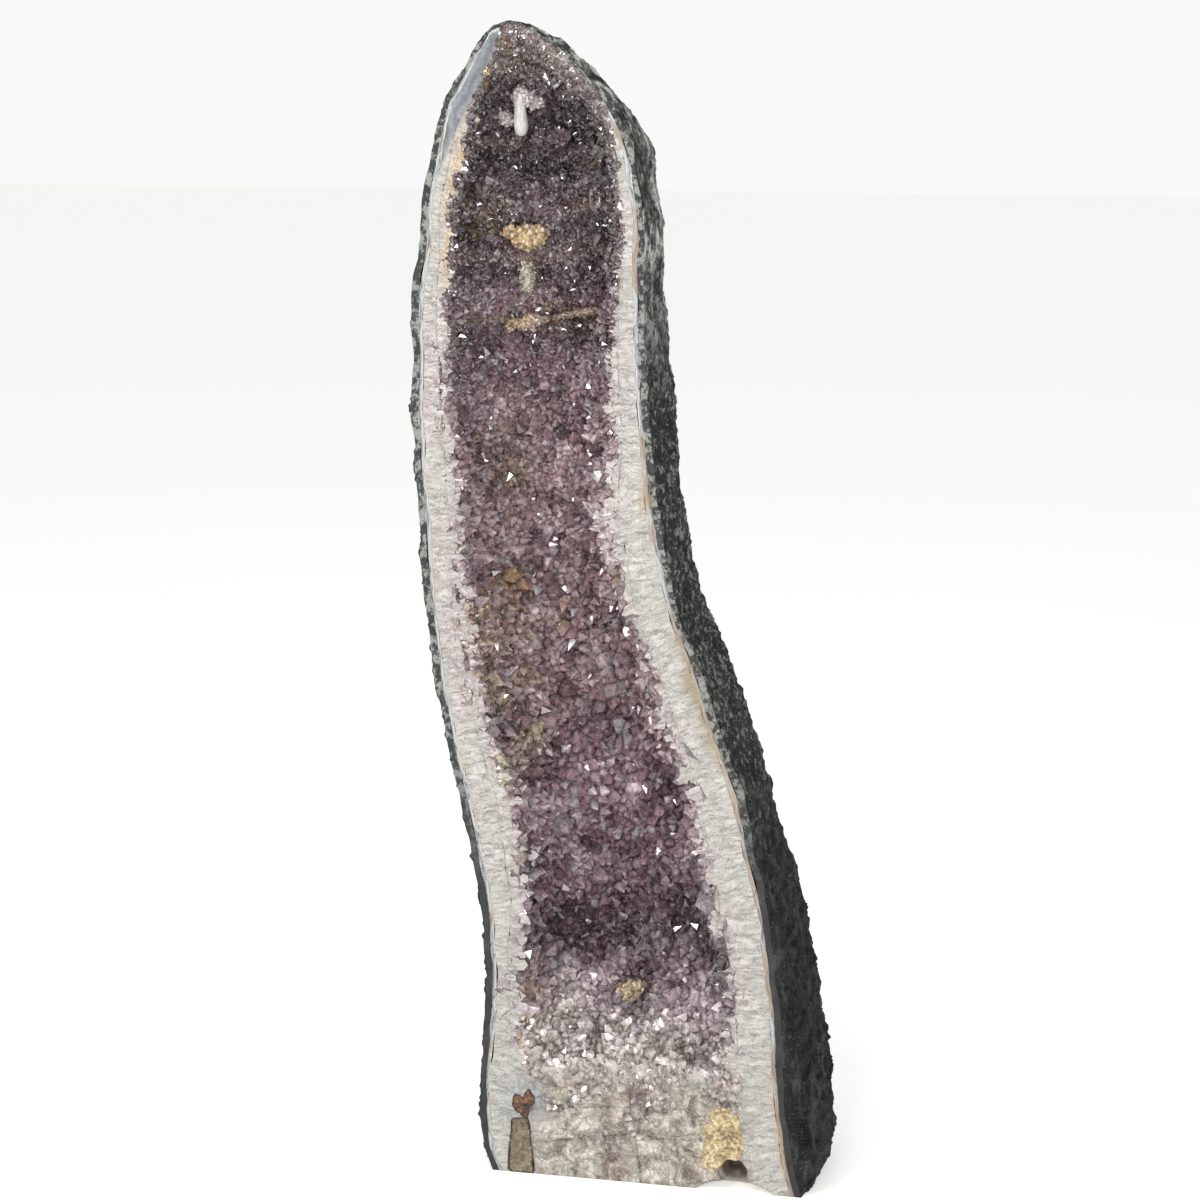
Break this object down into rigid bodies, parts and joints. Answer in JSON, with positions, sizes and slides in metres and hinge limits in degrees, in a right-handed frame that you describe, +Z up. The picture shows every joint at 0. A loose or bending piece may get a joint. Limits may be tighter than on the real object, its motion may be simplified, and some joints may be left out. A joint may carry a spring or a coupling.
{
  "type": "amethyst geode",
  "caption": "Tall free-standing amethyst geode, sawn open down the front to show its crystal-lined hollow and cut flat at the base to stand.",
  "frame": {"origin": "middle of the box around the geode at its base plane", "axes": "+Z up along the geode's length; the sawn open face looks to -Y; +X is the side that the foot leans out to"},
  "size_m": [0.4254, 0.2236, 1.208],
  "materials": {
    "basalt": "rough weathered volcanic rock, dark grey to black with pale specks and short ridges",
    "chalcedony": "sawn and polished thin banded agate, bluish grey with white and dark lines",
    "palisade_quartz": "sawn and polished milky quartz with fine columns, grey-white to pale lilac",
    "amethyst": "pointed quartz crystals, glossy, smoky mauve to dark plum, paler at the floor",
    "white_calcite": "translucent white calcite, softly glossy",
    "golden_calcite": "honey-coloured calcite, waxy with cream patches",
    "green_calcite": "pale greenish translucent calcite",
    "cream_calcite": "cream to pale yellow calcite, satin",
    "brown_filling": "matt tan-brown clay-like filling, sawn flat",
    "rust": "rusty iron-stained nodules, matt"
  },
  "bodies": {
    "root": {"basalt_rind": "basalt", "chalcedony_band": "chalcedony", "quartz_wall": "palisade_quartz", "amethyst_druse": "amethyst", "calcite_spear": "white_calcite", "pale_balls": "white_calcite", "left_dark_knob": "amethyst", "right_dark_knob": "amethyst", "golden_calcite": "golden_calcite", "calcite_drop": "green_calcite", "cream_calcite": "cream_calcite", "edge_calcite": "golden_calcite", "crown_calcite": "golden_calcite", "floor_calcite": "cream_calcite", "base_calcite": "cream_calcite", "pocket_bead": "chalcedony", "brown_plug": "brown_filling", "rust_nodules": "rust"}
  },
  "joints": []
}
